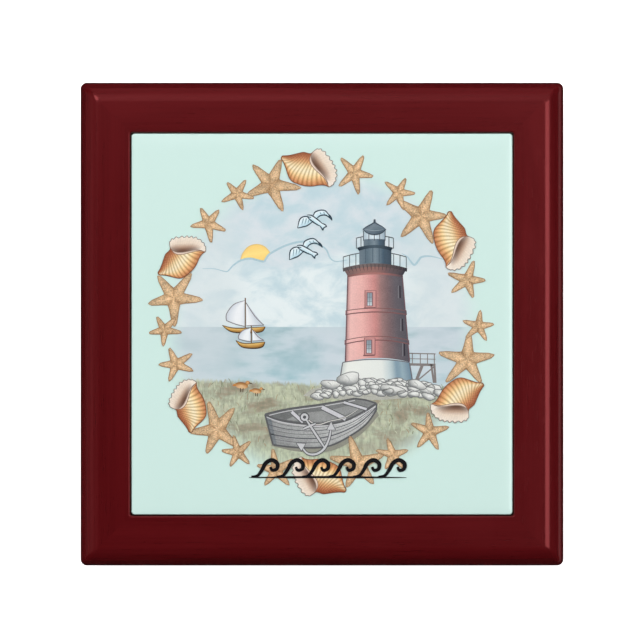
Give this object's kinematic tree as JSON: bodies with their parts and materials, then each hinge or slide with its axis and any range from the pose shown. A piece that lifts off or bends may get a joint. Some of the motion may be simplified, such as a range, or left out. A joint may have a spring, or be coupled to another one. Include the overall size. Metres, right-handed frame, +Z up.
{
  "type": "keepsake box",
  "caption": "Square lacquered wooden keepsake box with a glazed ceramic picture tile set flush in its hinged, overhanging lid, a stepped plinth and a felt-lined compartment.",
  "frame": {"origin": "centre of the face that the box stands on, under the middle of the box", "axes": "+Z up; -Y is the front, where the lid opens; +Y is the back, where the hinges are; +X is to the right"},
  "size_m": [0.1378, 0.1378, 0.056],
  "materials": {
    "red_lacquered_wood": "dark red lacquer, high gloss, over fine straight grain",
    "board": "bare fibreboard, matt",
    "glazed_tile": "pale mint gloss glaze with a printed seaside picture",
    "adhesive_foam": "off-white foam, matt",
    "black_felt": "black felt, matt",
    "brass": "polished, lightly tarnished"
  },
  "bodies": {
    "case": {"wall_front": "red_lacquered_wood", "wall_right": "red_lacquered_wood", "wall_back": "red_lacquered_wood", "wall_left": "red_lacquered_wood", "plinth_front": "red_lacquered_wood", "plinth_right": "red_lacquered_wood", "plinth_back": "red_lacquered_wood", "plinth_left": "red_lacquered_wood", "base_board": "board", "underside_felt": "black_felt", "floor_pad": "black_felt", "wall_lining_front": "black_felt", "wall_lining_right": "black_felt", "wall_lining_back": "black_felt", "wall_lining_left": "black_felt", "hinge_left_body_leaf": "brass", "hinge_left_body_screw_1": "brass", "hinge_left_body_screw_2": "brass", "hinge_left_pin": "brass", "hinge_right_body_leaf": "brass", "hinge_right_body_screw_1": "brass", "hinge_right_body_screw_2": "brass", "hinge_right_pin": "brass"},
    "lid": {"lid_rail_front": "red_lacquered_wood", "lid_rail_right": "red_lacquered_wood", "lid_rail_back": "red_lacquered_wood", "lid_rail_left": "red_lacquered_wood", "picture_tile": "glazed_tile", "tile_adhesive_pad_1": "adhesive_foam", "tile_adhesive_pad_2": "adhesive_foam", "tile_adhesive_pad_3": "adhesive_foam", "tile_adhesive_pad_4": "adhesive_foam", "lid_panel": "board", "lid_lining": "black_felt", "hinge_left_lid_leaf": "brass", "hinge_left_lid_screw_1": "brass", "hinge_left_lid_screw_2": "brass", "hinge_right_lid_leaf": "brass", "hinge_right_lid_screw_1": "brass", "hinge_right_lid_screw_2": "brass"}
  },
  "joints": [
    {"name": "lid_hinge", "type": "hinge", "parent": "case", "child": "lid", "pos_m": [0, 0.06568, 0.0388], "axis": [-1, 0, 0], "range_deg": [0, 95]}
  ]
}
